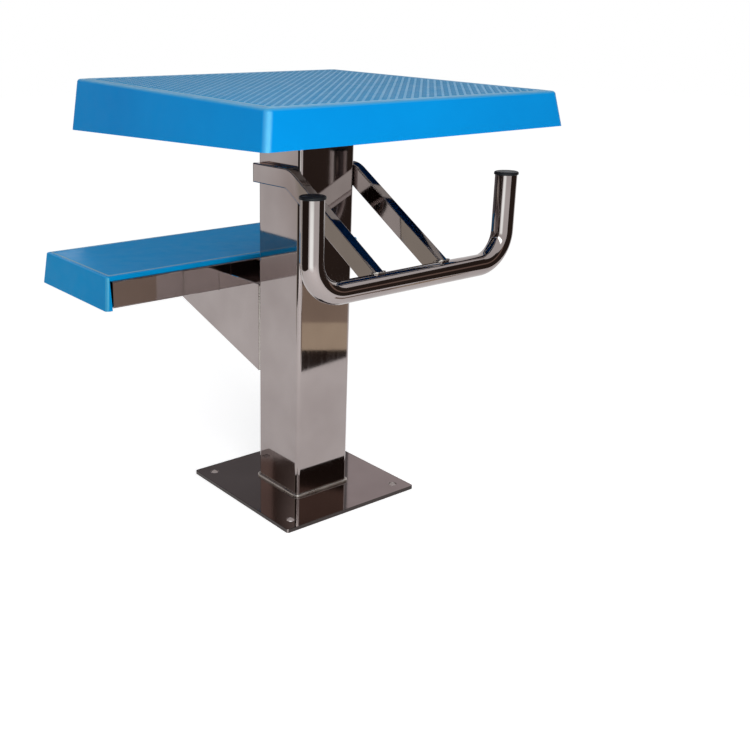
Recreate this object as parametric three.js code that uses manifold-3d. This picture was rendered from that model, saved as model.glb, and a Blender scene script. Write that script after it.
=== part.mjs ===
// Two-level swimming starting block: a square post on a base plate carries a wedge platform, a start handle
// on two arms and a rear step on two gussets.
// Millimetres, +Z up. The origin is under the middle of the base plate, and the water is on the -Y side.
import * as THREE from 'three';
import { mergeVertices } from 'three/addons/utils/BufferGeometryUtils.js';
import Module from 'manifold-3d';

const wasm = await Module();
wasm.setup();

// Fits and facets
const SEAT = 0.3; // gap left where one piece rests on another or is cut round it
const OVERRUN = 5; // how far a cutting solid runs past what it cuts
const CORNER_STEPS = 4; // facets in a quarter round
const ROUND_SIDES = 16; // facets round a hole, a screw or a bolt
const TUBE_SIDES = 18; // facets round the handle tube and its plugs
const BEND_STEPS = 8; // rings along a bend of the handle tube

// Base plate
const BASE_WIDTH = 250;
const BASE_THICKNESS = 6;
const BASE_CORNER = 4;
const ANCHOR_HOLE_DIAMETER = 12;
const ANCHOR_HOLE_INSET = 23; // from the plate's edge to the hole's axis

// Post
const POST_WIDTH = 100;
const POST_WALL = 3;
const POST_CORNER = 6;
const POST_WELD_LEG = 5;

// Platform
const UNDERSIDE_HEIGHT = 565; // from the floor to the front of the platform's lower rim
const RIM_FALL = 12; // how much lower the rim is at the back
const PLATFORM_WIDTH = 510;
const PLATFORM_DEPTH = 494;
const PLATFORM_OVERHANG = 250; // from the post's axis to the front edge
const PLATFORM_FRONT_THICKNESS = 46;
const PLATFORM_BACK_THICKNESS = 73.5;
const PLATFORM_DRAFT = 8;
const PLATFORM_CORNER = 10;
const PLATFORM_EDGE = 5; // radius of the top edge
const PLATFORM_WALL = 5;
const PLATFORM_SKIN = 5;
const BORDER_INSET = 19; // from the lower rim's outline to the raised border line
const BORDER_WIDTH = 3;
const BORDER_HEIGHT = 0.8;
const RIB_THICKNESS = 5;
const BOSS_DIAMETER = 22;

// Head plate and platform frame
const HEAD_RISE = 2; // how far the post reaches up past the front of the platform's rim
const HEAD_WIDTH = 220;
const HEAD_THICKNESS = 6;
const FRAME_TUBE = 25;
const FRAME_TUBE_WALL = 1.5;
const FRAME_CLEARANCE = 5; // between the frame and the platform's inner wall
const HEAD_BOLT_SPREAD_X = 170;
const HEAD_BOLT_SPREAD_Y = 150;

// Fasteners
const BOLT_DIAMETER = 10;
const BOLT_HEAD_WIDTH = 16; // across flats
const BOLT_HEAD_HEIGHT = 6.4;
const BOLT_TAIL = 4; // thread past the nut
const BOLT_CLEARANCE = 1; // on the diameter of the hole
const WASHER_DIAMETER = 20;
const WASHER_THICKNESS = 2;
const NUT_HEIGHT = 8;
const SCREW_DIAMETER = 6;
const SCREW_HEAD_DIAMETER = 12;
const SCREW_HEAD_HEIGHT = 3.5;
const SCREW_BITE = 5; // length of thread in the boss
const SCREW_CLEARANCE = 1;

// Start handle
const HANDLE_DIAMETER = 30;
const HANDLE_WALL = 1.5;
const HANDLE_SPREAD = 339; // between the axes of the two uprights
const HANDLE_BAR_DROP = 183; // from the front of the platform's rim down to the bar's axis
const HANDLE_REACH = 227; // from the post's axis forward to the bar's axis
const HANDLE_RISE = 121; // from the bar's axis up to the tube's ends, under the plugs
const HANDLE_BEND = 45; // radius of the axis
const PLUG_DIAMETER = 33;
const PLUG_THICKNESS = 4;
const PLUG_EDGE = 1.2;
const PLUG_STEM = 14;
const PLUG_FIT = 0.4; // gap round the plug's stem

// Arms
const ARM_WIDTH = 15;
const ARM_HEIGHT = 28;
const ARM_WALL = 1.5;
const ARM_TOP_DROP = 55; // from the front of the platform's rim down to the arms' top
const ARM_BEND_REACH = 40; // from the post's axis forward to the bend
const ARM_BACK_INSET = 8; // from the post's back face to the arms' back ends
const ARM_END_THICKNESS = 2;
const HANDLE_WELD_LEG = 3;

// Step
const STEP_WIDTH = 510;
const STEP_DEPTH = 232;
const STEP_SETBACK = 157; // from the post's axis back to the step's front lip
const STEP_HEIGHT = 341.5; // from the floor to the step's top
const STEP_END_HEIGHT = 51.5; // height of the end walls
const STEP_WALL = 5;
const STEP_SKIN = 6.5;
const STEP_DRAFT = 6;
const STEP_CORNER = 6;
const STEP_EDGE = 3;
const STEP_BORDER_INSET = 12;
const STEP_BOSS_DIAMETER = 16;
const STEP_LIP_OVERHANG = 2; // how far the cover's front edge stands before the front rail
const STEP_TUBE_WIDTH = 20;
const STEP_RAIL_HEIGHT = 42;
const STEP_BEARER_HEIGHT = 30;
const STEP_TUBE_WALL = 1.5;
const STEP_CLEARANCE = 3; // between the frame and the cover's inner wall
const STEP_SCREW_INSET = 45; // from a side rail's end to a screw

// Gussets
const GUSSET_THICKNESS = 4;
const GUSSET_TOP_DROP = 17.5; // from the step's top down to the edge between the post and the step
const GUSSET_FOOT_DROP = 156; // from the step's top down to where the lower edge meets the post
const GUSSET_TIP_REACH = 372; // from the post's axis back to the tip
const GUSSET_TIP_HEIGHT = 5;

// Finishes
const polishedSteel = { color: 0x9c938b, roughness: 0.12, metalness: 1 };
const plainSteel = { color: 0xa7a6a3, roughness: 0.4, metalness: 1 };
const bluePlastic = { color: 0x1788cf, roughness: 0.45, metalness: 0 };
const blackPlastic = { color: 0x17181c, roughness: 0.4, metalness: 0 };

// Places worked out from the sizes above
const postFace = POST_WIDTH / 2;
const postTop = UNDERSIDE_HEIGHT + HEAD_RISE;
const headBottom = postTop + SEAT;
const headTop = headBottom + HEAD_THICKNESS;
const frameBottom = headTop + SEAT;
const frameTop = frameBottom + FRAME_TUBE;
const platformFront = -PLATFORM_OVERHANG;
const platformBack = platformFront + PLATFORM_DEPTH;
const stepFront = STEP_SETBACK;
const stepBack = stepFront + STEP_DEPTH;
const stepFrameTop = STEP_HEIGHT - STEP_SKIN - SEAT;
const stepFrameBottom = stepFrameTop - STEP_RAIL_HEIGHT;
const armInner = postFace + SEAT;
const armMiddle = armInner + ARM_WIDTH / 2;
const barHeight = UNDERSIDE_HEIGHT - HANDLE_BAR_DROP;
const handleTop = barHeight + HANDLE_RISE;
const armTop = UNDERSIDE_HEIGHT - ARM_TOP_DROP;
const armAxisHeight = armTop - ARM_HEIGHT / 2;
const armSlope = Math.atan2(armAxisHeight - barHeight, HANDLE_REACH - ARM_BEND_REACH);

const block = new THREE.Group();

function addPiece(name, geometry, finish) {
  const mesh = new THREE.Mesh(geometry, new THREE.MeshStandardMaterial(finish));
  mesh.name = name;
  block.add(mesh);
  return mesh;
}

// Booleans
function toSolid(geometry) {
  const bare = geometry.clone();
  bare.deleteAttribute('normal');
  bare.deleteAttribute('uv');
  const merged = mergeVertices(bare);
  const vertProperties = new Float32Array(merged.attributes.position.array);
  const triVerts = new Uint32Array(merged.index.array);
  return new wasm.Manifold(new wasm.Mesh({ numProp: 3, vertProperties, triVerts }));
}

function toGeometry(solid) {
  const mesh = solid.getMesh();
  const geometry = new THREE.BufferGeometry();
  geometry.setAttribute('position', new THREE.BufferAttribute(new Float32Array(mesh.vertProperties), 3));
  geometry.setIndex(new THREE.BufferAttribute(new Uint32Array(mesh.triVerts), 1));
  geometry.computeVertexNormals();
  return geometry;
}

function joinAll(geometries) {
  return geometries.map(toSolid).reduce((whole, piece) => whole.add(piece));
}

function cut(geometry, cutters) {
  return toGeometry(toSolid(geometry).subtract(joinAll(cutters)));
}

// Simple solids
function box(x, y, z) {
  const [x0, x1] = x;
  const [y0, y1] = y;
  const [z0, z1] = z;
  const geometry = new THREE.BoxGeometry(x1 - x0, y1 - y0, z1 - z0);
  return geometry.translate((x0 + x1) / 2, (y0 + y1) / 2, (z0 + z1) / 2);
}

function upright(diameter, x, y, z) {
  const [z0, z1] = z;
  const geometry = new THREE.CylinderGeometry(diameter / 2, diameter / 2, z1 - z0, ROUND_SIDES);
  return geometry.rotateX(Math.PI / 2).translate(x, y, (z0 + z1) / 2);
}

function crossways(diameter, x, y, z) {
  const [x0, x1] = x;
  const geometry = new THREE.CylinderGeometry(diameter / 2, diameter / 2, x1 - x0, TUBE_SIDES);
  return geometry.rotateZ(Math.PI / 2).translate((x0 + x1) / 2, y, z);
}

// Outline in the Y-Z plane, made as thick as the span across X
function sideCut(points, x) {
  const [x0, x1] = x;
  const shape = new THREE.Shape(points.map(([y, z]) => new THREE.Vector2(y, z)));
  const geometry = new THREE.ExtrudeGeometry(shape, { depth: x1 - x0, bevelEnabled: false });
  const axes = new THREE.Matrix4().makeBasis(
    new THREE.Vector3(0, 1, 0),
    new THREE.Vector3(0, 0, 1),
    new THREE.Vector3(1, 0, 0),
  );
  return geometry.applyMatrix4(axes).translate(x0, 0, 0);
}

// Rounded square about the origin, for shapes that are extruded upward
function roundedSquare(width, corner, Path = THREE.Shape) {
  const path = new Path();
  const inner = width / 2 - corner;
  path.absarc(inner, inner, corner, 0, Math.PI / 2);
  path.absarc(-inner, inner, corner, Math.PI / 2, Math.PI);
  path.absarc(-inner, -inner, corner, Math.PI, Math.PI * 1.5);
  path.absarc(inner, -inner, corner, Math.PI * 1.5, Math.PI * 2);
  path.closePath();
  return path;
}

function circlePoints(diameter, x = 0, y = 0) {
  const points = [];
  for (let side = 0; side < ROUND_SIDES; side += 1) {
    const angle = side / ROUND_SIDES * Math.PI * 2;
    points.push(new THREE.Vector2(x + diameter / 2 * Math.cos(angle), y + diameter / 2 * Math.sin(angle)));
  }
  return points;
}

function roundHole(diameter, x = 0, y = 0) {
  return new THREE.Path(circlePoints(diameter, x, y));
}

function raise(shape, z) {
  const [z0, z1] = z;
  const options = { depth: z1 - z0, bevelEnabled: false, curveSegments: CORNER_STEPS / 2 };
  return new THREE.ExtrudeGeometry(shape, options).translate(0, 0, z0);
}

// Ring of points round a rectangle with round corners, moved in by inset, at a height for every y.
// The draft moves the ring in and leaves the corner's radius alone.
function ringPoints(outline, inset, heightAt) {
  const radius = Math.max(outline.corner - Math.max(inset - outline.draft, 0), outline.edge);
  const [x0, x1] = [outline.x[0] + inset + radius, outline.x[1] - inset - radius];
  const [y0, y1] = [outline.y[0] + inset + radius, outline.y[1] - inset - radius];
  const centres = [[x1, y1], [x0, y1], [x0, y0], [x1, y0]];
  return centres.flatMap(([x, y], quarter) => {
    const corner = [];
    for (let step = 0; step <= CORNER_STEPS; step += 1) {
      const angle = (quarter + step / CORNER_STEPS) * Math.PI / 2;
      const py = y + radius * Math.sin(angle);
      corner.push([x + radius * Math.cos(angle), py, heightAt(py)]);
    }
    return corner;
  });
}

// Closed solid through rings, lowest first, with a fan over each end
function loft(rings) {
  const count = rings[0].length;
  const middle = (ring) => ring.reduce((sum, p) => sum.map((v, i) => v + p[i] / count), [0, 0, 0]);
  const points = [...rings.flat(), middle(rings[0]), middle(rings[rings.length - 1])];
  const first = rings.length * count;
  const faces = [];
  for (let i = 0; i < count; i += 1) {
    const j = (i + 1) % count;
    for (let level = 0; level < rings.length - 1; level += 1) {
      const low = level * count;
      const high = low + count;
      faces.push(low + i, low + j, high + j, low + i, high + j, high + i);
    }
    const top = first - count;
    faces.push(first, j, i, first + 1, top + i, top + j);
  }
  const geometry = new THREE.BufferGeometry();
  geometry.setAttribute('position', new THREE.Float32BufferAttribute(points.flat(), 3));
  geometry.setIndex(faces);
  return geometry;
}

// Moulded block with drafted sides and a round top edge; grown in or out by inset, its top lowered by drop
function moulding(outline, inset, drop, below) {
  const rings = [ringPoints(outline, inset, (y) => outline.bottomAt(y) - below)];
  for (let step = 0; step <= CORNER_STEPS; step += 1) {
    const angle = step / CORNER_STEPS * Math.PI / 2;
    const edgeInset = inset + outline.draft + outline.edge * (1 - Math.cos(angle));
    const edgeDrop = drop + outline.edge * (1 - Math.sin(angle));
    rings.push(ringPoints(outline, edgeInset, (y) => outline.topAt(y) - edgeDrop));
  }
  return loft(rings);
}

// Thin raised line round a moulding's top
function borderLine(outline, inset, depth) {
  const plain = (y) => outline.topAt(y) - depth;
  const crest = (y) => outline.topAt(y) + BORDER_HEIGHT;
  const clear = (y) => outline.topAt(y) + OVERRUN;
  const deep = (y) => plain(y) - OVERRUN;
  const line = loft([ringPoints(outline, inset, plain), ringPoints(outline, inset, crest)]);
  const field = loft([
    ringPoints(outline, inset + BORDER_WIDTH, deep),
    ringPoints(outline, inset + BORDER_WIDTH, clear),
  ]);
  return toSolid(line).subtract(toSolid(field));
}

// Square or flat tube along X or Y
function railTube(along, span, across, z, wall) {
  const [a0, a1] = across;
  const [z0, z1] = z;
  const [s0, s1] = span;
  const lie = (s, a, h) => (along === 'x' ? box(s, a, h) : box(a, s, h));
  const bore = lie([s0 - OVERRUN, s1 + OVERRUN], [a0 + wall, a1 - wall], [z0 + wall, z1 - wall]);
  return [lie(span, across, z), bore];
}

// Fasteners
function hexagon(acrossFlats) {
  const corner = acrossFlats / Math.sqrt(3);
  const points = [];
  for (let side = 0; side < 6; side += 1) {
    const angle = side * Math.PI / 3;
    points.push(new THREE.Vector2(corner * Math.cos(angle), corner * Math.sin(angle)));
  }
  return new THREE.Shape(points);
}

function headBolt() {
  const shankBottom = headBottom - SEAT - WASHER_THICKNESS - SEAT - NUT_HEIGHT - BOLT_TAIL;
  const headLow = frameTop + SEAT;
  const head = raise(hexagon(BOLT_HEAD_WIDTH), [headLow, headLow + BOLT_HEAD_HEIGHT]);
  const shank = upright(BOLT_DIAMETER, 0, 0, [shankBottom, headLow + BOLT_HEAD_HEIGHT / 2]);
  return toGeometry(joinAll([head, shank]));
}

function headWasher() {
  const ring = new THREE.Shape(circlePoints(WASHER_DIAMETER));
  ring.holes.push(roundHole(BOLT_DIAMETER + BOLT_CLEARANCE));
  const top = headBottom - SEAT;
  return raise(ring, [top - WASHER_THICKNESS, top]);
}

function headNut() {
  const body = hexagon(BOLT_HEAD_WIDTH);
  body.holes.push(roundHole(BOLT_DIAMETER + 2 * SEAT));
  const top = headBottom - SEAT - WASHER_THICKNESS - SEAT;
  return raise(body, [top - NUT_HEIGHT, top]);
}

function boardScrew(seatHeight, tubeHeight) {
  const headTopHeight = seatHeight - SEAT;
  const tip = seatHeight + tubeHeight + SEAT + SCREW_BITE;
  const profile = [
    [0, headTopHeight - SCREW_HEAD_HEIGHT],
    [SCREW_HEAD_DIAMETER / 2 - SCREW_HEAD_HEIGHT / 2, headTopHeight - SCREW_HEAD_HEIGHT],
    [SCREW_HEAD_DIAMETER / 2, headTopHeight],
    [SCREW_DIAMETER / 2, headTopHeight],
    [SCREW_DIAMETER / 2, tip - SCREW_DIAMETER / 2],
    [0, tip],
  ];
  const points = profile.map(([r, z]) => new THREE.Vector2(r, z));
  return new THREE.LatheGeometry(points, ROUND_SIDES).rotateX(Math.PI / 2);
}

// Base, post and head
function makePost() {
  const anchor = BASE_WIDTH / 2 - ANCHOR_HOLE_INSET;
  const base = roundedSquare(BASE_WIDTH, BASE_CORNER);
  const head = roundedSquare(HEAD_WIDTH, BASE_CORNER);
  for (const [sx, sy] of [[-1, -1], [1, -1], [1, 1], [-1, 1]]) {
    base.holes.push(roundHole(ANCHOR_HOLE_DIAMETER, sx * anchor, sy * anchor));
    const [hx, hy] = [sx * HEAD_BOLT_SPREAD_X / 2, sy * HEAD_BOLT_SPREAD_Y / 2];
    head.holes.push(roundHole(BOLT_DIAMETER + BOLT_CLEARANCE, hx, hy));
  }
  addPiece('base_plate', raise(base, [0, BASE_THICKNESS]), polishedSteel);
  addPiece('head_plate', raise(head, [headBottom, headTop]), plainSteel);

  const tube = roundedSquare(POST_WIDTH, POST_CORNER);
  tube.holes.push(roundedSquare(POST_WIDTH - 2 * POST_WALL, POST_CORNER - POST_WALL, THREE.Path));
  const postBottom = BASE_THICKNESS + SEAT;
  addPiece('post_tube', raise(tube, [postBottom, postTop]), polishedSteel);

  addPiece('base_weld', weldRound(postBottom, postBottom + POST_WELD_LEG), plainSteel);
  addPiece('head_weld', weldRound(postTop, postTop - POST_WELD_LEG), plainSteel);
}

// Weld bead round the post: widest where it meets the plate, thin where it runs out on the post
function weldRound(plateHeight, postHeight) {
  const half = postFace + POST_WELD_LEG;
  const corner = POST_CORNER + POST_WELD_LEG;
  const outline = { x: [-half, half], y: [-half, half], corner, edge: POST_CORNER, draft: 0 };
  const wide = ringPoints(outline, 0, () => plateHeight);
  const thin = ringPoints(outline, POST_WELD_LEG - 2 * SEAT, () => postHeight);
  const rings = plateHeight < postHeight ? [wide, thin] : [thin, wide];
  const low = Math.min(plateHeight, postHeight) - OVERRUN;
  const high = Math.max(plateHeight, postHeight) + OVERRUN;
  const hollow = raise(roundedSquare(POST_WIDTH + 2 * SEAT, POST_CORNER + SEAT), [low, high]);
  return cut(loft(rings), [hollow]);
}

// Platform
const platformOutline = {
  x: [-PLATFORM_WIDTH / 2, PLATFORM_WIDTH / 2],
  y: [platformFront, platformBack],
  corner: PLATFORM_CORNER,
  edge: PLATFORM_EDGE,
  draft: PLATFORM_DRAFT,
  bottomAt: (y) => UNDERSIDE_HEIGHT - RIM_FALL * (y - platformFront) / PLATFORM_DEPTH,
  topAt: (y) => {
    const rise = PLATFORM_BACK_THICKNESS - RIM_FALL - PLATFORM_FRONT_THICKNESS;
    return UNDERSIDE_HEIGHT + PLATFORM_FRONT_THICKNESS + rise * (y - platformFront) / PLATFORM_DEPTH;
  },
};
const frameInset = PLATFORM_WALL + PLATFORM_DRAFT + FRAME_CLEARANCE;
const frameX = PLATFORM_WIDTH / 2 - frameInset;
const frameFront = platformFront + frameInset;
const frameBack = platformBack - frameInset;
const crossRailY = HEAD_BOLT_SPREAD_Y / 2;
const endRailX = frameX - FRAME_TUBE - SEAT;

// The middle line of each rail: along which axis, its place across it, and its span
const platformRails = {
  frame_left_rail: ['y', -frameX + FRAME_TUBE / 2, [frameFront, frameBack]],
  frame_right_rail: ['y', frameX - FRAME_TUBE / 2, [frameFront, frameBack]],
  frame_front_rail: ['x', frameFront + FRAME_TUBE / 2, [-endRailX, endRailX]],
  frame_back_rail: ['x', frameBack - FRAME_TUBE / 2, [-endRailX, endRailX]],
  frame_front_cross_rail: ['x', -crossRailY, [-endRailX, endRailX]],
  frame_back_cross_rail: ['x', crossRailY, [-endRailX, endRailX]],
};
const platformScrews = [
  [-frameX + FRAME_TUBE / 2, -crossRailY],
  [-frameX + FRAME_TUBE / 2, crossRailY],
  [frameX - FRAME_TUBE / 2, -crossRailY],
  [frameX - FRAME_TUBE / 2, crossRailY],
  [0, frameFront + FRAME_TUBE / 2],
  [0, frameBack - FRAME_TUBE / 2],
];

function makePlatform() {
  const ribFoot = frameTop + SEAT;
  const ribHead = UNDERSIDE_HEIGHT + PLATFORM_BACK_THICKNESS + OVERRUN;
  const half = RIB_THICKNESS / 2;
  const ribs = Object.values(platformRails).map(([along, place, [s0, s1]]) => {
    const span = [s0 - frameInset, s1 + frameInset];
    const across = [place - half, place + half];
    return along === 'x' ? box(span, across, [ribFoot, ribHead]) : box(across, span, [ribFoot, ribHead]);
  });
  const bosses = platformScrews.map(([x, y]) => upright(BOSS_DIAMETER, x, y, [ribFoot, ribHead]));
  const core = moulding(platformOutline, PLATFORM_WALL / 2, PLATFORM_SKIN / 2, OVERRUN);
  const inside = joinAll([...ribs, ...bosses]).intersect(toSolid(core));
  const holeTop = ribFoot + SCREW_BITE + SCREW_DIAMETER / 2;
  const holeDiameter = SCREW_DIAMETER + 2 * SEAT;
  const holes = platformScrews.map(([x, y]) => upright(holeDiameter, x, y, [ribFoot - OVERRUN, holeTop]));
  const shell = toSolid(moulding(platformOutline, 0, 0, 0))
    .subtract(toSolid(moulding(platformOutline, PLATFORM_WALL, PLATFORM_SKIN, OVERRUN)))
    .add(inside)
    .add(borderLine(platformOutline, BORDER_INSET, PLATFORM_SKIN / 2))
    .subtract(joinAll([...holes, ...boltHeadRooms(ribFoot)]));
  addPiece('platform_shell', toGeometry(shell), bluePlastic);
}

// Room in the ribs for the four bolt heads that stand on the cross rails
function boltHeadRooms(ribFoot) {
  const room = BOLT_HEAD_WIDTH + BOLT_HEAD_HEIGHT;
  const places = [[-1, -1], [1, -1], [1, 1], [-1, 1]];
  return places.map(([sx, sy]) => {
    const [x, y] = [sx * HEAD_BOLT_SPREAD_X / 2, sy * crossRailY];
    const top = ribFoot + BOLT_HEAD_HEIGHT + FRAME_CLEARANCE;
    return box([x - room / 2, x + room / 2], [y - room / 2, y + room / 2], [ribFoot - OVERRUN, top]);
  });
}

function makePlatformFrame() {
  const boltHole = BOLT_DIAMETER + BOLT_CLEARANCE;
  const screwHole = SCREW_DIAMETER + SCREW_CLEARANCE;
  const drilled = [frameBottom - OVERRUN, frameTop + OVERRUN];
  const boltX = HEAD_BOLT_SPREAD_X / 2;
  for (const [name, [along, place, span]] of Object.entries(platformRails)) {
    const across = [place - FRAME_TUBE / 2, place + FRAME_TUBE / 2];
    const [tube, bore] = railTube(along, span, across, [frameBottom, frameTop], FRAME_TUBE_WALL);
    const onRail = ([x, y]) => Math.abs((along === 'x' ? y : x) - place) < FRAME_TUBE / 2;
    const screws = name.includes('cross') ? [] : platformScrews.filter(onRail);
    const holes = screws.map(([x, y]) => upright(screwHole, x, y, drilled));
    if (name.includes('cross')) {
      holes.push(upright(boltHole, -boltX, place, drilled), upright(boltHole, boltX, place, drilled));
    }
    addPiece(name, cut(tube, [bore, ...holes]), plainSteel);
  }
  let number = 0;
  for (const y of [-crossRailY, crossRailY]) {
    for (const x of [-boltX, boltX]) {
      number += 1;
      addPiece(`head_bolt_${number}`, headBolt(), plainSteel).position.set(x, y, 0);
      addPiece(`head_washer_${number}`, headWasher(), plainSteel).position.set(x, y, 0);
      addPiece(`head_nut_${number}`, headNut(), plainSteel).position.set(x, y, 0);
    }
  }
  platformScrews.forEach(([x, y], index) => {
    const screw = boardScrew(frameBottom, FRAME_TUBE);
    addPiece(`platform_screw_${index + 1}`, screw, plainSteel).position.set(x, y, 0);
  });
}

// Start handle: one tube, down, across and up again, with a plug in each end
function makeHandle() {
  const half = HANDLE_SPREAD / 2;
  const rings = (diameter, past) => {
    const turn = barHeight + HANDLE_BEND;
    const stops = [[-half, handleTop + past, Math.PI]];
    for (const [side, from] of [[-1, Math.PI], [1, Math.PI * 1.5]]) {
      for (let step = 0; step <= BEND_STEPS; step += 1) {
        const angle = from + step / BEND_STEPS * Math.PI / 2;
        const x = side * (half - HANDLE_BEND) + HANDLE_BEND * Math.cos(angle);
        stops.push([x, turn + HANDLE_BEND * Math.sin(angle), angle]);
      }
    }
    stops.push([half, handleTop + past, Math.PI * 2]);
    return stops.map(([x, z, outward]) => {
      const ring = [];
      for (let side = 0; side < TUBE_SIDES; side += 1) {
        const angle = side / TUBE_SIDES * Math.PI * 2;
        const out = diameter / 2 * Math.cos(angle);
        const y = -HANDLE_REACH + diameter / 2 * Math.sin(angle);
        ring.push([x + out * Math.cos(outward), y, z + out * Math.sin(outward)]);
      }
      return ring;
    });
  };
  const bore = loft(rings(HANDLE_DIAMETER - 2 * HANDLE_WALL, OVERRUN));
  addPiece('handle_tube', cut(loft(rings(HANDLE_DIAMETER, 0)), [bore]), polishedSteel);

  const stem = HANDLE_DIAMETER / 2 - HANDLE_WALL - PLUG_FIT;
  const seat = handleTop + SEAT;
  const profile = [
    [0, seat - PLUG_STEM],
    [stem, seat - PLUG_STEM],
    [stem, seat],
    [PLUG_DIAMETER / 2, seat],
    [PLUG_DIAMETER / 2, seat + PLUG_THICKNESS - PLUG_EDGE],
    [PLUG_DIAMETER / 2 - PLUG_EDGE, seat + PLUG_THICKNESS],
    [0, seat + PLUG_THICKNESS],
  ];
  for (const [side, sign] of [['left', -1], ['right', 1]]) {
    const plug = new THREE.LatheGeometry(profile.map(([r, z]) => new THREE.Vector2(r, z)), TUBE_SIDES);
    plug.rotateX(Math.PI / 2);
    addPiece(`handle_plug_${side}`, plug, blackPlastic).position.set(sign * half, -HANDLE_REACH, 0);
  }
}

// Outline of an arm from its back end to the bar's axis, for a bar of the given height
function armOutline(height, back, past) {
  const h = height / 2;
  const forward = [-Math.cos(armSlope), -Math.sin(armSlope)];
  const up = [-Math.sin(armSlope), Math.cos(armSlope)];
  const mitre = h * Math.tan(armSlope / 2);
  const end = [-HANDLE_REACH + forward[0] * past, barHeight + forward[1] * past];
  return [
    [back, armAxisHeight - h],
    [back, armAxisHeight + h],
    [-ARM_BEND_REACH - mitre, armAxisHeight + h],
    [end[0] + up[0] * h, end[1] + up[1] * h],
    [end[0] - up[0] * h, end[1] - up[1] * h],
    [-ARM_BEND_REACH + mitre, armAxisHeight - h],
  ];
}

function makeArms() {
  const armBack = postFace - ARM_BACK_INSET;
  const back = armBack - ARM_END_THICKNESS - SEAT;
  const round = HANDLE_DIAMETER / 2 + SEAT;
  for (const [side, sign] of [['left', -1], ['right', 1]]) {
    const middle = sign * armMiddle;
    const span = (grow) => [middle - ARM_WIDTH / 2 - grow, middle + ARM_WIDTH / 2 + grow];
    const bar = crossways(2 * round, span(OVERRUN), -HANDLE_REACH, barHeight);
    const bore = sideCut(armOutline(ARM_HEIGHT - 2 * ARM_WALL, back + OVERRUN, 0), span(-ARM_WALL));
    const tube = sideCut(armOutline(ARM_HEIGHT, back, 0), span(0));
    addPiece(`arm_${side}`, cut(tube, [bore, bar]), polishedSteel);

    const plateZ = [armTop - ARM_HEIGHT, armTop];
    const plate = box(span(0), [armBack - ARM_END_THICKNESS, armBack], plateZ);
    addPiece(`arm_end_plate_${side}`, plate, polishedSteel);

    const grown = sideCut(armOutline(ARM_HEIGHT + 2 * HANDLE_WELD_LEG, back, 0), span(HANDLE_WELD_LEG));
    const sleeve = crossways(2 * (round + HANDLE_WELD_LEG), span(OVERRUN), -HANDLE_REACH, barHeight);
    const inside = sideCut(armOutline(ARM_HEIGHT + 2 * SEAT, back, 0), span(SEAT));
    const bead = toSolid(grown).intersect(toSolid(sleeve)).subtract(joinAll([inside, bar]));
    addPiece(`handle_weld_${side}`, toGeometry(bead), plainSteel);
  }
}

// Step cover: open below and at the front, with bosses over the side rails
const stepOutline = {
  x: [-STEP_WIDTH / 2, STEP_WIDTH / 2],
  y: [stepFront, stepBack],
  corner: STEP_CORNER,
  edge: STEP_EDGE,
  draft: STEP_DRAFT,
  bottomAt: () => STEP_HEIGHT - STEP_END_HEIGHT,
  topAt: () => STEP_HEIGHT,
};
const stepFrameX = STEP_WIDTH / 2 - STEP_DRAFT - STEP_WALL - STEP_CLEARANCE;
const stepRailFront = stepFront + STEP_LIP_OVERHANG;
const stepRailBack = stepBack - STEP_DRAFT - STEP_WALL - STEP_CLEARANCE;
const sideRailSpan = [stepRailFront + STEP_TUBE_WIDTH + SEAT, stepRailBack - STEP_TUBE_WIDTH - SEAT];
const sideRailX = stepFrameX - STEP_TUBE_WIDTH / 2;
const gussetMiddle = postFace - GUSSET_THICKNESS / 2;
const stepScrews = [-1, 1].flatMap((sign) => [
  [sign * sideRailX, sideRailSpan[0] + STEP_SCREW_INSET],
  [sign * sideRailX, sideRailSpan[1] - STEP_SCREW_INSET],
]);

function makeStepCover() {
  const bossFoot = stepFrameBottom + STEP_BEARER_HEIGHT + SEAT;
  const bossHead = STEP_HEIGHT - STEP_SKIN / 2;
  const bosses = stepScrews.map(([x, y]) => upright(STEP_BOSS_DIAMETER, x, y, [bossFoot, bossHead]));
  const holeDiameter = SCREW_DIAMETER + 2 * SEAT;
  const holeTop = bossFoot + SCREW_BITE + SCREW_DIAMETER / 2;
  const holes = stepScrews.map(([x, y]) => upright(holeDiameter, x, y, [bossFoot - OVERRUN, holeTop]));
  const opening = box(
    [-STEP_WIDTH / 2 + STEP_WALL + STEP_DRAFT, STEP_WIDTH / 2 - STEP_WALL - STEP_DRAFT],
    [stepFront - OVERRUN, stepFront + STEP_CORNER + STEP_WALL + OVERRUN],
    [STEP_HEIGHT - STEP_END_HEIGHT - OVERRUN, STEP_HEIGHT - STEP_SKIN],
  );
  const cover = toSolid(moulding(stepOutline, 0, 0, 0))
    .subtract(toSolid(moulding(stepOutline, STEP_WALL, STEP_SKIN, OVERRUN)))
    .subtract(toSolid(opening))
    .add(joinAll(bosses))
    .add(borderLine(stepOutline, STEP_BORDER_INSET, STEP_SKIN / 2))
    .subtract(joinAll(holes));
  addPiece('step_cover', toGeometry(cover), bluePlastic);
}

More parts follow.
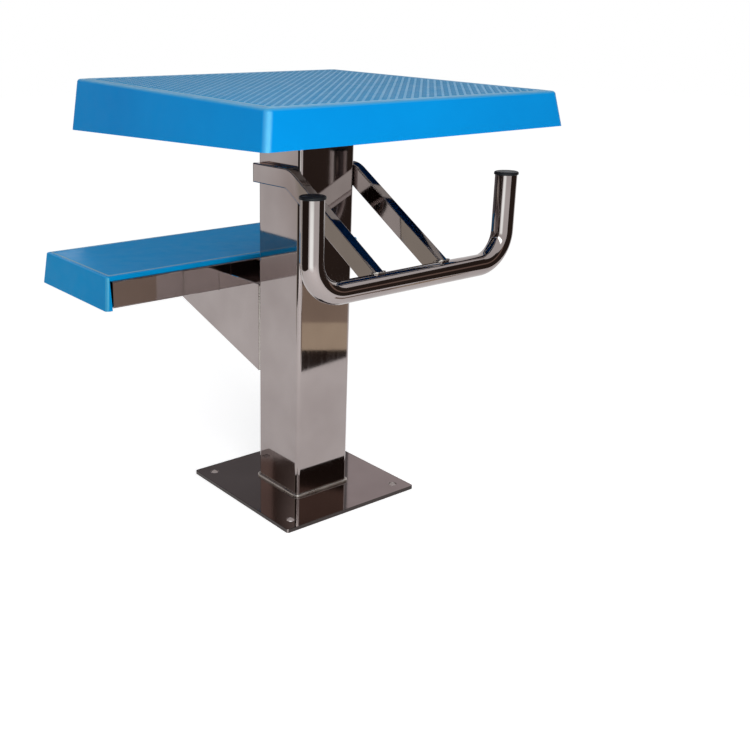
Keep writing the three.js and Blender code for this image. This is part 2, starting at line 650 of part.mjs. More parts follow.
function makeStepFrame() {
  const tall = [stepFrameBottom, stepFrameTop];
  const low = [stepFrameBottom, stepFrameBottom + STEP_BEARER_HEIGHT];
  const width = [-stepFrameX, stepFrameX];
  const screwHole = SCREW_DIAMETER + SCREW_CLEARANCE;
  const drilled = [stepFrameBottom - OVERRUN, stepFrameTop];
  const beside = (x) => [x - STEP_TUBE_WIDTH / 2, x + STEP_TUBE_WIDTH / 2];
  const rails = {
    step_front_rail: ['x', width, [stepRailFront, stepRailFront + STEP_TUBE_WIDTH], tall],
    step_back_rail: ['x', width, [stepRailBack - STEP_TUBE_WIDTH, stepRailBack], tall],
    step_left_rail: ['y', sideRailSpan, beside(-sideRailX), low],
    step_right_rail: ['y', sideRailSpan, beside(sideRailX), low],
    step_left_bearer: ['y', sideRailSpan, beside(-gussetMiddle), low],
    step_right_bearer: ['y', sideRailSpan, beside(gussetMiddle), low],
  };
  for (const [name, [along, span, across, z]] of Object.entries(rails)) {
    const [tube, bore] = railTube(along, span, across, z, STEP_TUBE_WALL);
    const onRail = ([x]) => along === 'y' && x > across[0] && x < across[1];
    const holes = stepScrews.filter(onRail).map(([x, y]) => upright(screwHole, x, y, drilled));
    addPiece(name, cut(tube, [bore, ...holes]), polishedSteel);
  }
  stepScrews.forEach(([x, y], index) => {
    const screw = boardScrew(stepFrameBottom, STEP_BEARER_HEIGHT);
    addPiece(`step_screw_${index + 1}`, screw, plainSteel).position.set(x, y, 0);
  });
}

// Gussets: plates in line with the post's sides, from its back face to under the step
function makeGussets() {
  const root = postFace + SEAT;
  const under = stepFrameBottom - SEAT;
  const gussetTop = STEP_HEIGHT - GUSSET_TOP_DROP;
  const outline = [
    [root, STEP_HEIGHT - GUSSET_FOOT_DROP],
    [GUSSET_TIP_REACH, under - GUSSET_TIP_HEIGHT],
    [GUSSET_TIP_REACH, under],
    [stepRailFront - SEAT, under],
    [stepRailFront - SEAT, gussetTop],
    [root, gussetTop],
  ];
  for (const [side, sign] of [['left', -1], ['right', 1]]) {
    const middle = sign * gussetMiddle;
    const span = [middle - GUSSET_THICKNESS / 2, middle + GUSSET_THICKNESS / 2];
    addPiece(`gusset_${side}`, sideCut(outline, span), polishedSteel);
  }
}

makePost();
makePlatform();
makePlatformFrame();
makeArms();
makeHandle();
makeStepCover();
makeStepFrame();
makeGussets();

export default block;
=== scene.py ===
import math

import bpy
from mathutils import Matrix, Vector


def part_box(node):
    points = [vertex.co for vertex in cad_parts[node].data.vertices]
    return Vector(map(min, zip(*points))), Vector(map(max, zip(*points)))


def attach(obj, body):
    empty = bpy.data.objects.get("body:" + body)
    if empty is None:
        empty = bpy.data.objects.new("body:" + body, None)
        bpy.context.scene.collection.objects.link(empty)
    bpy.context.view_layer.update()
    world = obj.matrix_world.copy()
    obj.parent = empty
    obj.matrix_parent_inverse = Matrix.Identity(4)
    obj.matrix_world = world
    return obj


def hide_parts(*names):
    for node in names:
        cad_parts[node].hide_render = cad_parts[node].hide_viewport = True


# A starting block with a rear step: a finer piece for every CAD node, its finish, and a plain studio
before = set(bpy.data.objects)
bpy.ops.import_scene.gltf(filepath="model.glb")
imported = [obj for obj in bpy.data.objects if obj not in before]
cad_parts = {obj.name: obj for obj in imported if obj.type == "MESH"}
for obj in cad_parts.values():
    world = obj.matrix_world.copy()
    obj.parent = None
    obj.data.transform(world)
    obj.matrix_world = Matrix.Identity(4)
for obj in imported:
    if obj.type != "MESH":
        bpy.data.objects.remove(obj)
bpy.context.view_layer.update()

scene = bpy.context.scene
MM = 0.001


def span(node):
    """A CAD node's reach along X, Y and Z, in millimetres."""
    low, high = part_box(node)
    return [(a / MM, b / MM) for a, b in zip(low, high)]


def middle(reach):
    return (reach[0] + reach[1]) / 2


def around(centre, width):
    return centre - width / 2, centre + width / 2


def inset(reach, by):
    """A reach that starts and ends further in, or further out where by is negative."""
    return reach[0] + by, reach[1] - by


# Sizes in millimetres. Places come from the frame, and walls and rounds are the CAD part's own.
SEAT = 0.3
OVERRUN = 1  # how far a drill runs past what it drills
TUBE_WALL = 1.5
RAIL_CORNER = 2
LEAST_CORNER = 0.5
BASE_CORNER = 4
ANCHOR_DIAMETER = 12
ANCHOR_INSET = 23
POST_WALL = 3
POST_CORNER = 6
HANDLE_RADIUS = 15
HANDLE_BEND = 45
ARM_HEIGHT = 28
ARM_CORNER = 2
ARM_BEND_REACH = 40
ARM_BEND_RADIUS = 30
GUSSET_TIP_HEIGHT = 5
BOLT_DIAMETER = 10
BOLT_HEAD_WIDTH = 16
BOLT_HEAD_HEIGHT = 6.4
BOLT_HOLE = 11
WASHER_RADIUS = 10
SCREW_DIAMETER = 6
SCREW_HEAD_RADIUS = 6
SCREW_HEAD_HEIGHT = 3.5
SCREW_HOLE = 7
BOSS_HOLE = 6.6
BOSS_HOLE_DEPTH = 8

# Sides of a full circle, and steps over a quarter of a round corner
CIRCLE_SIDES = 32
HOLE_SIDES = 40
HANDLE_SIDES = 48
FASTENER_SIDES = 24
ROUND_STEPS = 8
POST_STEPS = 6
SECTION_STEPS = 4

post_x, post_y, post_z = span("post_tube")
handle_x, handle_y, handle_z = span("handle_tube")
frame_top = span("frame_front_rail")[2][1]
step_rail_y, step_rail_z = span("step_front_rail")[1:]
bearer_top = span("step_left_rail")[2][1]
handle_half = handle_x[1] - HANDLE_RADIUS
handle_axis_y = middle(handle_y)
bar_z = handle_z[0] + HANDLE_RADIUS
handle_top = handle_z[1]

PLATFORM_RAILS = ("frame_left_rail", "frame_right_rail", "frame_front_rail", "frame_back_rail",
                  "frame_front_cross_rail", "frame_back_cross_rail")
STEP_RAILS = ("step_front_rail", "step_back_rail", "step_left_rail", "step_right_rail",
              "step_left_bearer", "step_right_bearer")


def places(prefix, count):
    """Where a numbered row of upright fasteners stands."""
    reaches = [span(f"{prefix}_{number + 1}") for number in range(count)]
    return [(middle(x), middle(y)) for x, y, _ in reaches]


bolt_places = places("head_bolt", 4)
platform_screw_places = places("platform_screw", 6)
step_screw_places = places("step_screw", 4)


# Mesh building. The first three values are the angles, in degrees, from which an edge is drawn sharp.
SHARP = 35
SHARP_SMALL = 50
SHARP_BEAD = 80
BEVEL_ANGLE = 50
BEVEL_STEPS = 3

pieces = []


def make_mesh(name, solid):
    verts, faces = solid
    mesh = bpy.data.meshes.new(name)
    mesh.from_pydata([[c * MM for c in v] for v in verts], [], faces)
    mesh.validate()
    return mesh


def evaluated_mesh(obj):
    """A new mesh of an object with its modifiers, or of a curve object."""
    seen = obj.evaluated_get(bpy.context.evaluated_depsgraph_get())
    return bpy.data.meshes.new_from_object(seen)


def smooth(mesh, sharp):
    mesh.shade_smooth()
    mesh.set_sharp_from_angle(angle=math.radians(sharp))


def place(name, mesh, material, nodes=(), sharp=SHARP):
    """A piece that rides on the block and stands for the CAD nodes."""
    smooth(mesh, sharp)
    mesh.materials.clear()
    mesh.materials.append(material)
    obj = bpy.data.objects.new(name, mesh)
    scene.collection.objects.link(obj)
    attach(obj, "root")
    if nodes:
        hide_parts(*nodes)
    pieces.append(obj)
    return obj


def build(name, solid, material, nodes=(), sharp=SHARP):
    return place(name, make_mesh(name, solid), material, nodes, sharp)


def bevel(obj, width):
    cut = obj.modifiers.new("edge", "BEVEL")
    cut.width = width * MM
    cut.segments = BEVEL_STEPS
    cut.limit_method = "ANGLE"
    cut.angle_limit = math.radians(BEVEL_ANGLE)


def combine(obj, solid, operation, sharp=SHARP):
    """Adds a solid to an object, cuts it away or keeps what both hold, and leaves no modifier."""
    tool = bpy.data.objects.new("tool", make_mesh("tool", solid))
    scene.collection.objects.link(tool)
    change = obj.modifiers.new("change", "BOOLEAN")
    change.operation = operation
    change.solver = "EXACT"
    change.object = tool
    mesh = evaluated_mesh(obj)
    obj.modifiers.remove(change)
    bpy.data.objects.remove(tool)
    smooth(mesh, sharp)
    obj.data = mesh


def bridge(count, low, high):
    """Quads between two rings of the same count, whose first points are low and high."""
    return [(low + i, low + (i + 1) % count, high + (i + 1) % count, high + i) for i in range(count)]


def flipped(faces):
    return [tuple(reversed(face)) for face in faces]


def skin(rings, looped=False, caps=(True, True)):
    """Points and faces through rings of points. Looped rings close on the first one, others get end caps."""
    count = len(rings[0])
    verts = [p for ring in rings for p in ring]
    faces = []
    for level in range(len(rings) - 1):
        faces += bridge(count, level * count, (level + 1) * count)
    last = (len(rings) - 1) * count
    if looped:
        faces += bridge(count, last, 0)
        return verts, faces
    if caps[0]:
        faces.append(tuple(range(count - 1, -1, -1)))
    if caps[1]:
        faces.append(tuple(range(last, last + count)))
    return verts, faces


def join(*solids):
    verts, faces = [], []
    for more_verts, more_faces in solids:
        start = len(verts)
        verts += more_verts
        faces += [tuple(i + start for i in face) for face in more_faces]
    return verts, faces


def rounded_ring(x, y, radius, height, steps=ROUND_STEPS):
    """Points round a rectangle with round corners, at a height that is a number or a function of y."""
    at = height if callable(height) else lambda _: height
    centres = [(x[1] - radius, y[1] - radius), (x[0] + radius, y[1] - radius),
               (x[0] + radius, y[0] + radius), (x[1] - radius, y[0] + radius)]
    ring = []
    for quarter, (cx, cy) in enumerate(centres):
        for step in range(steps + 1):
            angle = (quarter + step / steps) * math.pi / 2
            py = cy + radius * math.sin(angle)
            ring.append((cx + radius * math.cos(angle), py, at(py)))
    return ring


def circle_ring(radius, centre, height, sides):
    turn = 2 * math.pi / sides
    return [(centre[0] + radius * math.cos(i * turn), centre[1] + radius * math.sin(i * turn), height)
            for i in range(sides)]


def tube(rings_out, rings_in):
    """A hollow tube from its outer rings and its inner rings, both in the same order."""
    return skin(list(rings_out) + list(reversed(rings_in)), looped=True)


def circle_rings(profile, centre, sides):
    """Circles round an upright axis through points (radius, height), in the order of an outline."""
    return [circle_ring(radius, centre, z, sides) for radius, z in profile]


def cylinder(diameter, centre, z):
    return skin(circle_rings([(diameter / 2, z[0]), (diameter / 2, z[1])], centre, CIRCLE_SIDES))


def box(x, y, z):
    ring = [(x[0], y[0]), (x[1], y[0]), (x[1], y[1]), (x[0], y[1])]
    return skin([[(px, py, pz) for px, py in ring] for pz in z])


# Materials
def empty_tree(owner, output):
    """The node tree of a material or a world, with nothing in it but its output."""
    owner.use_nodes = True
    tree = owner.node_tree
    tree.nodes.clear()
    return tree, tree.nodes.new(output)


def empty_material(name):
    material = bpy.data.materials.new(name)
    return material, *empty_tree(material, "ShaderNodeOutputMaterial")


def shaded_material(name, metallic=0.0):
    material, tree, out = empty_material(name)
    shader = tree.nodes.new("ShaderNodeBsdfPrincipled")
    shader.inputs["Metallic"].default_value = metallic
    tree.links.new(shader.outputs["BSDF"], out.inputs["Surface"])
    where = tree.nodes.new("ShaderNodeTexCoord").outputs["Object"]
    return material, tree, shader, where


def noise(tree, where, scale, detail, stretch=(1, 1, 1)):
    spot = tree.nodes.new("ShaderNodeMapping")
    spot.inputs["Scale"].default_value = stretch
    tree.links.new(where, spot.inputs["Vector"])
    texture = tree.nodes.new("ShaderNodeTexNoise")
    texture.inputs["Scale"].default_value = scale
    texture.inputs["Detail"].default_value = detail
    tree.links.new(spot.outputs["Vector"], texture.inputs["Vector"])
    return texture.outputs["Fac"]


def axes(tree, vector):
    """A vector's three parts, as sockets named X, Y and Z."""
    parts = tree.nodes.new("ShaderNodeSeparateXYZ")
    tree.links.new(vector, parts.inputs["Vector"])
    return parts.outputs


def sums(tree, operation, *values):
    """A math node over values, each a number or a socket."""
    node = tree.nodes.new("ShaderNodeMath")
    node.operation = operation
    for socket, value in zip(node.inputs, values):
        if isinstance(value, (int, float)):
            socket.default_value = value
        else:
            tree.links.new(value, socket)
    return node.outputs["Value"]


def spread(tree, value, low, high, start=0.3, end=0.7):
    """The value's reach from start to end mapped to low and high. A noise lies mostly from 0.3 to 0.7."""
    node = tree.nodes.new("ShaderNodeMapRange")
    node.inputs["From Min"].default_value = start
    node.inputs["From Max"].default_value = end
    node.inputs["To Min"].default_value = low
    node.inputs["To Max"].default_value = high
    tree.links.new(value, node.inputs["Value"])
    return node.outputs["Result"]


def blend(tree, value, low, high):
    """A colour between low and high, each a colour or a socket that gives one."""
    node = tree.nodes.new("ShaderNodeMix")
    node.data_type = "RGBA"
    for name, colour in (("A", low), ("B", high)):
        if isinstance(colour, tuple):
            node.inputs[name].default_value = (*colour, 1)
        else:
            tree.links.new(colour, node.inputs[name])
    tree.links.new(value, node.inputs["Factor"])
    return node.outputs["Result"]


def mottle(tree, cloud, tones):
    """A colour that drifts between two tones."""
    return blend(tree, spread(tree, cloud, 0, 1), *tones)


def paint(tree, shader, colour, roughness):
    tree.links.new(colour, shader.inputs["Base Color"])
    tree.links.new(roughness, shader.inputs["Roughness"])


def facing(tree):
    """Three values from 0 to 1: how far a face looks up, how far it looks down, and how far it turns between
    two walls at a corner."""
    normal = axes(tree, tree.nodes.new("ShaderNodeTexCoord").outputs["Normal"])
    turned = sums(tree, "ABSOLUTE", sums(tree, "MULTIPLY", normal["X"], normal["Y"]))
    up = spread(tree, normal["Z"], 0, 1, start=0.4, end=0.9)
    down = spread(tree, normal["Z"], 1, 0, start=-0.9, end=-0.4)
    return up, down, spread(tree, turned, 0, 1, start=0.1, end=0.35)


def bump(tree, shader, value, strength, distance, before=None):
    """Relief over any relief before it. The distance is in metres."""
    node = tree.nodes.new("ShaderNodeBump")
    node.inputs["Strength"].default_value = strength
    node.inputs["Distance"].default_value = distance
    tree.links.new(value, node.inputs["Height"])
    if before:
        tree.links.new(before, node.inputs["Normal"])
    tree.links.new(node.outputs["Normal"], shader.inputs["Normal"])
    return node.outputs["Normal"]


STEEL_TONES = ((0.285, 0.245, 0.238), (0.345, 0.302, 0.294))
# Painted shade: the dark tone along the base plate's edges, where it stands on the floor.
EDGE_SHADE_TONE = (0.055, 0.046, 0.044)
EDGE_SHADE_DEPTHS = (0.6, 0.3)  # how far in from the edge its tone starts and is full
PLAIN_TONES = ((0.46, 0.45, 0.43), (0.56, 0.55, 0.53))
WELD_TONES = ((0.30, 0.27, 0.25), (0.46, 0.42, 0.39))
BLACK_TONES = ((0.006, 0.007, 0.009), (0.013, 0.014, 0.017))
# Painted shade: the dark colour that faces looking down get, for the shade under the mouldings.
UNDERSIDE_SHADE = (0, 0.06, 0.26)


def polished_steel(name, edge_shade_reach=None):
    """Polished steel with slow waves and fine scratches. A square plate, given how far it reaches from its
    middle, gets a dark tone along its edges: painted shade where it stands on the floor."""
    material, tree, shader, where = shaded_material(name, metallic=1.0)
    scratch = noise(tree, where, scale=60, detail=4, stretch=(6, 6, 0.25))
    tint = mottle(tree, noise(tree, where, scale=9, detail=3), STEEL_TONES)
    # Painted shade along the plate's edges.
    if edge_shade_reach:
        parts = axes(tree, where)
        reach = sums(tree, "MAXIMUM", *(sums(tree, "ABSOLUTE", parts[axis]) for axis in "XY"))
        start, end = ((edge_shade_reach - depth) * MM for depth in EDGE_SHADE_DEPTHS)
        tint = blend(tree, spread(tree, reach, 0, 1, start, end), tint, EDGE_SHADE_TONE)
    paint(tree, shader, tint, spread(tree, scratch, 0.035, 0.07))
    waves = bump(tree, shader, noise(tree, where, scale=5, detail=1), strength=0.12, distance=0.0010)
    bump(tree, shader, scratch, strength=0.004, distance=0.0002, before=waves)
    return material


def plain_steel():
    material, tree, shader, where = shaded_material("plain_steel", metallic=1.0)
    cloud = noise(tree, where, scale=14, detail=4)
    grain = noise(tree, where, scale=220, detail=3, stretch=(0.15, 1, 1))
    paint(tree, shader, mottle(tree, cloud, PLAIN_TONES), spread(tree, grain, 0.28, 0.42))
    bump(tree, shader, grain, strength=0.12, distance=0.0002)
    return material


def weld_steel():
    material, tree, shader, where = shaded_material("weld_steel", metallic=1.0)
    cloud = noise(tree, where, scale=60, detail=3)
    paint(tree, shader, mottle(tree, cloud, WELD_TONES), spread(tree, cloud, 0.22, 0.4))
    bump(tree, shader, noise(tree, where, scale=260, detail=2), strength=0.2, distance=0.0004)
    return material


def blue_plastic(name, wall_tones, top, rough=0.42):
    """Moulded plastic. Its top's own colour is painted light, for the light and sheen that fall on the top,
    its underside's dark colour is painted shade, and its corners are glossier."""
    material, tree, shader, where = shaded_material(name)
    up, down, corner = facing(tree)
    walls = mottle(tree, noise(tree, where, scale=7, detail=4), wall_tones)
    wear = noise(tree, where, scale=45, detail=5)
    # The top's colour is painted light and sheen, and the underside's dark colour is painted shade.
    paint(tree, shader, blend(tree, down, blend(tree, up, walls, top), UNDERSIDE_SHADE),
          spread(tree, wear, rough - 0.05, rough + 0.08))
    gloss = sums(tree, "ADD", spread(tree, up, 0.06, 0.2, start=0, end=1),
                 spread(tree, corner, 0, 1.4, start=0, end=1))
    tree.links.new(gloss, shader.inputs["Specular IOR Level"])
    shader.inputs["Specular Tint"].default_value = (0.6, 1.0, 0.3, 1)
    waves = bump(tree, shader, noise(tree, where, scale=22, detail=1), strength=0.10, distance=0.0006)
    grain = noise(tree, where, scale=420, detail=2)
    bump(tree, shader, grain, strength=0.10, distance=0.0002, before=waves)
    return material


def black_plastic():
    material, tree, shader, where = shaded_material("black_plastic")
    cloud = noise(tree, where, scale=90, detail=3)
    paint(tree, shader, mottle(tree, cloud, BLACK_TONES), spread(tree, cloud, 0.4, 0.55))
    shader.inputs["Specular IOR Level"].default_value = 0.15
    bump(tree, shader, noise(tree, where, scale=600, detail=2), strength=0.1, distance=0.0002)
    return material


STEEL = polished_steel("polished_steel")
PLATE = polished_steel("polished_steel_plate", span("base_plate")[0][1])
PLAIN = plain_steel()
WELD = weld_steel()
# The tops' own colours are painted light: lighter on the step, paler and greyer on the platform's deck.
BLUE = blue_plastic("blue_plastic", ((0, 0.315, 0.73), (0, 0.35, 0.78)), (0, 0.385, 0.88))
GRIP = blue_plastic("blue_plastic_grip", ((0, 0.30, 0.79), (0, 0.335, 0.845)), (0.05, 0.38, 0.72))
# Painted shade: the studs are darker than the deck between them, for the contrast light gives the grip
# pattern.
SHADED_STUD = blue_plastic("blue_plastic_stud_painted_shade", ((0, 0.24, 0.62), (0, 0.27, 0.66)), (0.02, 0.27, 0.57))
LINE = blue_plastic("blue_plastic_line", ((0.24, 0.48, 0.70), (0.30, 0.54, 0.74)), (0.30, 0.53, 0.71), 0.55)
BLACK = black_plastic()


# Camera, fitted to the photograph
CAMERA_PLACE = (-0.8962, -1.1298, 0.6965)
CAMERA_YAW = math.radians(-35.117)
CAMERA_PITCH = math.radians(18.329)
CAMERA_ROLL = math.radians(-0.337)
CAMERA_LENS = 47.101
CAMERA_SENSOR = 36
CAMERA_SHIFT = (0.1667, -0.0305)


def make_camera():
    back = Vector((math.sin(CAMERA_YAW) * math.cos(CAMERA_PITCH),
                   -math.cos(CAMERA_YAW) * math.cos(CAMERA_PITCH),
                   math.sin(CAMERA_PITCH)))
    right = (-back).cross(Vector((0, 0, 1))).normalized()
    up = right.cross(-back)
    right_rolled = math.cos(CAMERA_ROLL) * right + math.sin(CAMERA_ROLL) * up
    up_rolled = math.cos(CAMERA_ROLL) * up - math.sin(CAMERA_ROLL) * right
    data = bpy.data.cameras.new("camera")
    data.sensor_width = CAMERA_SENSOR
    data.lens = CAMERA_LENS
    data.shift_x, data.shift_y = CAMERA_SHIFT
    camera = bpy.data.objects.new("camera", data)
    turn = Matrix((right_rolled, up_rolled, back)).transposed()
    camera.matrix_world = Matrix.Translation(Vector(CAMERA_PLACE)) @ turn.to_4x4()
    scene.collection.objects.link(camera)
    scene.camera = camera


make_camera()


# Moulded platform and step
BORDER_WIDTH = 3
BORDER_HEIGHT = 0.8
BORDER_SHOULDER = [(0, -0.6), (0.25, 0.45), (0.7, BORDER_HEIGHT)]  # in from its side, and up from the top
STUD_INSET = 26
STUD_PITCH = 6.75
STUD_REACH = 4.7
STUD_HEIGHT = 0.9
STUD_SIDES = 4
STUD_PROFILE_SHARES = [(1.0, -0.3), (0.86, 0.5), (0.7, 0.88), (0.5, 1.0)]  # of its reach, and of its height
RIB = 5
RIB_PAST_RAIL = 18
PLATFORM_BOSS = 22
STEP_BOSS = 16
BOLT_ROOM_WIDTH = 22.4
BOLT_ROOM_HEIGHT = 11.4
LIP_CUT_OVERRUN = 5


def moulding(node, front_height, back_height, rim_fall, **sizes):
    """A moulding's sizes, with its lower rim's and its top's heights, each at the front and at the back."""
    x, y, z = span(node)
    rim = (z[0] + rim_fall, z[0])
    return dict(x=x, y=y, rim=rim, top=(rim[0] + front_height, rim[1] + back_height), **sizes)


PLATFORM = moulding("platform_shell", front_height=46, back_height=73.5, rim_fall=12,
                    corner=10, edge=5, draft=8, wall=5, skin=5, border=19)
STEP = moulding("step_cover", front_height=51.5, back_height=51.5, rim_fall=0,
                corner=6, edge=3, draft=6, wall=5, skin=6.5, border=12)


def slope_height(outline, level, drop=0.0):
    """The height of a moulding's top or rim at each y, less a drop."""
    y0, y1 = outline["y"]
    front, back = outline[level]
    return lambda y: front + (back - front) * (y - y0) / (y1 - y0) - drop


def inset_ring(outline, by, height):
    radius = max(outline["corner"] - max(by - outline["draft"], 0), outline["edge"])
    return rounded_ring(inset(outline["x"], by), inset(outline["y"], by), radius, height)


def mould_rings(outline, by, drop):
    """Rings up a moulding's drafted side and over its round top edge."""
    rings = [inset_ring(outline, by, slope_height(outline, "rim"))]
    for step in range(ROUND_STEPS + 1):
        angle = step / ROUND_STEPS * math.pi / 2
        edge_inset = by + outline["draft"] + outline["edge"] * (1 - math.cos(angle))
        edge_drop = drop + outline["edge"] * (1 - math.sin(angle))
        rings.append(inset_ring(outline, edge_inset, slope_height(outline, "top", edge_drop)))
    return rings


def shell(outline):
    """A moulding open below: its outside, its inside and the rim between them."""
    outer = mould_rings(outline, 0, 0)
    outside = skin(outer, caps=(False, True))
    inner = mould_rings(outline, outline["wall"], outline["skin"])
    inner_verts, inner_faces = skin(inner, caps=(False, True))
    verts, faces = join(outside, (inner_verts, flipped(inner_faces)))
    faces += bridge(len(outer[0]), len(outside[0]), 0)
    return verts, faces


def border_line(outline):
    """A thin raised line on a moulding's top, with rounded shoulders."""
    profile = BORDER_SHOULDER + [(BORDER_WIDTH - a, b) for a, b in reversed(BORDER_SHOULDER)]
    return skin([inset_ring(outline, outline["border"] + a, slope_height(outline, "top", -b))
                 for a, b in profile], looped=True)


def grip_studs(outline):
    """Low diamond studs in rows at 45 degrees over the field inside the border."""
    top = slope_height(outline, "top")
    columns, rows = (int((high - low - 2 * STUD_INSET) / 2 / STUD_PITCH)
                     for low, high in (outline["x"], outline["y"]))
    studs = []
    for row in range(-rows, rows + 1):
        for column in range(-columns, columns + 1):
            if (row + column) % 2:
                continue
            x, y = column * STUD_PITCH, middle(outline["y"]) + row * STUD_PITCH
            profile = [(STUD_REACH * share, top(y) + STUD_HEIGHT * rise)
                       for share, rise in STUD_PROFILE_SHARES]
            studs.append(skin(circle_rings(profile, (x, y), STUD_SIDES)))
    return join(*studs)


def rail_ribs(z):
    """Upright ribs over the platform's rails, along their middle lines."""
    ribs = []
    for node in PLATFORM_RAILS:
        x, y, _ = span(node)
        if x[1] - x[0] > y[1] - y[0]:
            ribs.append(box(inset(x, -RIB_PAST_RAIL), around(middle(y), RIB), z))
        else:
            ribs.append(box(around(middle(x), RIB), inset(y, -RIB_PAST_RAIL), z))
    return ribs


def make_platform():
    platform = build("platform_moulding", shell(PLATFORM), GRIP, ["platform_shell"])
    foot = frame_top + SEAT
    z = (foot, PLATFORM["top"][1])
    solids = rail_ribs(z) + [cylinder(PLATFORM_BOSS, centre, z) for centre in platform_screw_places]
    core = skin(mould_rings(PLATFORM, PLATFORM["wall"] / 2, PLATFORM["skin"] / 2))
    for solid in solids:
        inside = bpy.data.objects.new("rib", make_mesh("rib", solid))
        scene.collection.objects.link(inside)
        combine(inside, core, "INTERSECT")
        verts = [tuple(c / MM for c in v.co) for v in inside.data.vertices]
        faces = [tuple(face.vertices) for face in inside.data.polygons]
        bpy.data.objects.remove(inside)
        combine(platform, (verts, faces), "UNION")
    for centre in platform_screw_places:
        combine(platform, cylinder(BOSS_HOLE, centre, (foot - OVERRUN, foot + BOSS_HOLE_DEPTH)), "DIFFERENCE")
    for x, y in bolt_places:
        room_z = (foot - OVERRUN, foot + BOLT_ROOM_HEIGHT)
        room = box(around(x, BOLT_ROOM_WIDTH), around(y, BOLT_ROOM_WIDTH), room_z)
        combine(platform, room, "DIFFERENCE")
    build("platform_border", border_line(PLATFORM), LINE)
    build("platform_studs", grip_studs(PLATFORM), SHADED_STUD, sharp=SHARP_SMALL)


def make_step_cover():
    """The step's cover, whose front wall is cut away under its lip."""
    cover = build("step_moulding", shell(STEP), BLUE, ["step_cover"])
    top = STEP["top"][0] - STEP["skin"]
    x = inset(STEP["x"], STEP["wall"] + STEP["draft"])
    front = STEP["y"][0]
    y = (front - LIP_CUT_OVERRUN, front + STEP["corner"] + STEP["wall"] + LIP_CUT_OVERRUN)
    combine(cover, box(x, y, (STEP["rim"][0] - LIP_CUT_OVERRUN, top)), "DIFFERENCE")
    foot = bearer_top + SEAT
    for centre in step_screw_places:
        combine(cover, cylinder(STEP_BOSS, centre, (foot, top + STEP["skin"] / 2)), "UNION")
        combine(cover, cylinder(BOSS_HOLE, centre, (foot - OVERRUN, foot + BOSS_HOLE_DEPTH)), "DIFFERENCE")
    build("step_border", border_line(STEP), LINE)


make_platform()
make_step_cover()


# Weld beads
BEAD_SIDES = 10
BEAD_STEP = 0.9
BEAD_SWELL_SHARE = 0.10


def bead(path, up, out, radius, ripple):
    """A weld bead along a closed path: short overlapping ripples between two surfaces."""
    turns = [2 * math.pi * k / BEAD_SIDES for k in range(BEAD_SIDES)]
    rings = []
    run = 0.0
    for i, here in enumerate(path):
        ahead = path[(i + 1) % len(path)]
        swell = radius * (1 + BEAD_SWELL_SHARE * abs(math.sin(run / ripple)))
        rings.append([tuple(here + up[i] * swell * math.sin(a) + out[i] * swell * math.cos(a))
                      for a in turns])
        run += (ahead - here).length
    return skin(rings, looped=True)


def finer(ring):
    """The points of a closed ring, with more between them so that none are further apart than BEAD_STEP."""
    points = []
    for i, start in enumerate(ring):
        a, b = Vector(start), Vector(ring[(i + 1) % len(ring)])
        steps = max(1, math.ceil((b - a).length / BEAD_STEP))
        points += [a.lerp(b, k / steps) for k in range(steps)]
    return points


# Base plate, post and head plate
PLATE_SOFTENING = 0.5
PLATE_EDGE_STEPS = 2
POST_BEAD_OFFSET = 1.2
POST_BEAD_RISE = 1
POST_BEAD_RADIUS = 2.6
POST_BEAD_RIPPLE = 1.9
POST_BEAD_STEPS = 10


def drilled_plate(name, node, holes, hole_diameter, material):
    """A square plate with round holes and softened edges, filled from curves."""
    x, y, z = span(node)
    curve = bpy.data.curves.new(name, "CURVE")
    curve.dimensions = "2D"
    curve.fill_mode = "BOTH"
    curve.extrude = ((z[1] - z[0]) / 2 - PLATE_SOFTENING) * MM
    curve.bevel_depth = PLATE_SOFTENING * MM
    curve.bevel_resolution = PLATE_EDGE_STEPS
    curve.offset = -PLATE_SOFTENING * MM
    outlines = [rounded_ring(x, y, BASE_CORNER, 0)]
    outlines += [circle_ring(hole_diameter / 2, hole, 0, HOLE_SIDES) for hole in holes]
    for outline in outlines:
        spline = curve.splines.new("POLY")
        spline.points.add(len(outline) - 1)
        for point, (px, py, _) in zip(spline.points, outline):
            point.co = (px * MM, py * MM, 0, 1)
        spline.use_cyclic_u = True
    holder = bpy.data.objects.new(name, curve)
    scene.collection.objects.link(holder)
    mesh = evaluated_mesh(holder)
    bpy.data.objects.remove(holder)
    mesh.transform(Matrix.Translation((0, 0, middle(z) * MM)))
    place(name, mesh, material, [node])


def anchor_places():
    plate_x, plate_y, _ = span("base_plate")
    return [(x, y) for x in inset(plate_x, ANCHOR_INSET) for y in inset(plate_y, ANCHOR_INSET)]


def post_bead(z, sign):
    """The bead round the post where it meets a plate."""
    corner = POST_CORNER + POST_BEAD_OFFSET
    x = inset(post_x, -POST_BEAD_OFFSET)
    y = inset(post_y, -POST_BEAD_OFFSET)
    path = finer(rounded_ring(x, y, corner, z, POST_BEAD_STEPS))
    out = []
    for point in path:
        core = Vector((max(x[0] + corner, min(x[1] - corner, point.x)),
                       max(y[0] + corner, min(y[1] - corner, point.y)), z))
        out.append((point - core).normalized())
    return bead(path, [Vector((0, 0, sign))] * len(path), out, POST_BEAD_RADIUS, POST_BEAD_RIPPLE)


